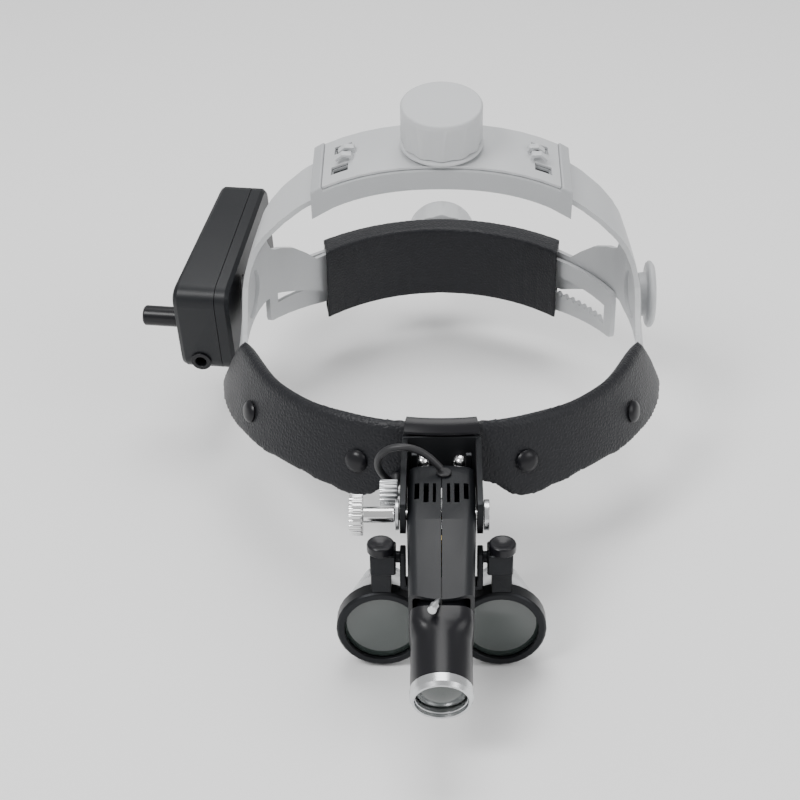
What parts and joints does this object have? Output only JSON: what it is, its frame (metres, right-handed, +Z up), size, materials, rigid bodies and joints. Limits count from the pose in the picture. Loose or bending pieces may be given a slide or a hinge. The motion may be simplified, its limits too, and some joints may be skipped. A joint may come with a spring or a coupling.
{
  "type": "dental loupes",
  "caption": "Headband with flip-up dental loupes and a headlight, crown and rear adjusting knobs, and a battery box at one side.",
  "frame": {"origin": "centre of the head ring, level with the middle of the front band", "axes": "+Z up, -Y the way the wearer looks, +X to the right of someone facing the wearer"},
  "size_m": [0.2282, 0.3475, 0.1702],
  "materials": {
    "pale_plastic": "fine satin",
    "grey_plastic": "fine satin",
    "leather": "fine pebble grain, soft sheen",
    "charcoal_plastic": "fine satin",
    "black_plastic": "smooth, half gloss",
    "black_metal": "satin black coat",
    "satin_metal": "satin",
    "bright_metal": "bright",
    "brass": "plain",
    "glass": "polished, faint green coating",
    "circuit_green": "plain",
    "cell_wrap": "smooth film",
    "cable_rubber": "matt"
  },
  "bodies": {
    "headset": {"side_frame_left": "pale_plastic", "side_frame_right": "pale_plastic", "ear_cap_right": "pale_plastic", "battery_clip": "black_plastic", "front_cushion": "leather", "front_strip": "grey_plastic", "rivet_front_left": "black_plastic", "rivet_front_right": "black_plastic", "rivet_side_left": "black_plastic", "rivet_side_right": "black_plastic", "bracket_frame": "black_metal", "bracket_cap": "black_plastic", "dome_nut_left": "bright_metal", "dome_nut_right": "bright_metal", "tilt_washer_left": "satin_metal", "tilt_washer_right": "satin_metal", "battery_case": "charcoal_plastic", "battery_cover": "charcoal_plastic", "battery_cell": "cell_wrap", "control_board": "circuit_green", "charge_socket": "black_plastic", "cable_boot": "cable_rubber", "light_cable": "cable_rubber"},
    "crown": {"crown_tray": "grey_plastic", "crown_cover": "pale_plastic", "crown_knob_washer": "pale_plastic"},
    "crown_knob": {"crown_knob": "pale_plastic", "crown_pinion": "satin_metal"},
    "rear": {"rear_housing": "black_plastic", "rear_pad": "leather"},
    "rear_knob": {"rear_knob": "pale_plastic", "rear_pinion": "satin_metal"},
    "tilt_screw": {"tilt_screw": "bright_metal"},
    "lock_knob": {"lock_knob": "satin_metal"},
    "dimmer_knob": {"dimmer_knob": "black_plastic"},
    "optics": {"light_yoke": "black_metal", "headlight_shell_left": "charcoal_plastic", "headlight_shell_right": "charcoal_plastic", "heat_sink": "satin_metal", "driver_board": "circuit_green", "led_module": "brass", "iris_plate": "black_metal", "lens_barrel": "black_plastic", "bezel_ring": "satin_metal", "condenser_lens": "glass", "cable_grommet": "cable_rubber", "loupe_bar": "black_metal"},
    "spot_lever": {"spot_lever": "black_metal"},
    "loupe_left": {"loupe_carriage_left": "black_metal", "loupe_rim_left": "black_metal", "loupe_body_left": "satin_metal", "objective_lens_left": "glass", "eyepiece_lens_left": "glass"},
    "loupe_right": {"loupe_carriage_right": "black_metal", "loupe_rim_right": "black_metal", "loupe_body_right": "satin_metal", "objective_lens_right": "glass", "eyepiece_lens_right": "glass"},
    "loupe_screw_left": {"loupe_screw_left": "black_plastic"},
    "loupe_screw_right": {"loupe_screw_right": "black_plastic"}
  },
  "joints": [
    {"name": "crown_slide", "type": "slide", "parent": "headset", "child": "crown", "axis": [0, -0.225, 0.9744], "range_m": [0, 0.004]},
    {"name": "crown_knob_turn", "type": "hinge", "parent": "crown", "child": "crown_knob", "pos_m": [0, -0.00683, 0.07941], "axis": [0, -0.225, 0.9744], "range_deg": [-5, 65]},
    {"name": "rear_slide", "type": "slide", "parent": "headset", "child": "rear", "axis": [0, -1, 0], "range_m": [-0.0004, 0.001]},
    {"name": "rear_knob_turn", "type": "hinge", "parent": "rear", "child": "rear_knob", "pos_m": [0, 0.1021, -0.017], "axis": [0, 1, 0], "range_deg": [-15, 25]},
    {"name": "optics_tilt", "type": "hinge", "parent": "headset", "child": "optics", "pos_m": [0, -0.144, -0.0047], "axis": [-1, 0, 0], "range_deg": [-10, 80], "deforming": ["light_cable"]},
    {"name": "tilt_screw_turn", "type": "hinge", "parent": "headset", "child": "tilt_screw", "pos_m": [0, -0.144, -0.0047], "axis": [1, 0, 0], "continuous": true},
    {"name": "lock_knob_turn", "type": "hinge", "parent": "headset", "child": "lock_knob", "pos_m": [0, -0.128, -0.0058], "axis": [1, 0, 0], "continuous": true},
    {"name": "dimmer_turn", "type": "hinge", "parent": "headset", "child": "dimmer_knob", "pos_m": [-0.1157, 0.00988, -0.00451], "axis": [-0.9916, 0.1294, 0], "range_deg": [0, 270]},
    {"name": "spot_lever_turn", "type": "hinge", "parent": "optics", "child": "spot_lever", "pos_m": [0, -0.1517, -0.01265], "axis": [0, -0.9636, -0.2672], "range_deg": [-20, 12]},
    {"name": "pd_left", "type": "slide", "parent": "optics", "child": "loupe_left", "axis": [-1, 0, 0], "range_m": [-0.001, 0.004]},
    {"name": "pd_right", "type": "slide", "parent": "optics", "child": "loupe_right", "axis": [1, 0, 0], "range_m": [-0.001, 0.004]},
    {"name": "loupe_screw_left_turn", "type": "hinge", "parent": "loupe_left", "child": "loupe_screw_left", "pos_m": [-0.022, -0.1574, -0.009], "axis": [0, 0, 1], "continuous": true},
    {"name": "loupe_screw_right_turn", "type": "hinge", "parent": "loupe_right", "child": "loupe_screw_right", "pos_m": [0.022, -0.1574, -0.009], "axis": [0, 0, 1], "continuous": true}
  ],
  "couplings": [
    {"joint": "crown_knob_turn", "follows": "crown_slide", "rad_per_m": 256.4},
    {"joint": "rear_knob_turn", "follows": "rear_slide", "rad_per_m": 256.4}
  ]
}
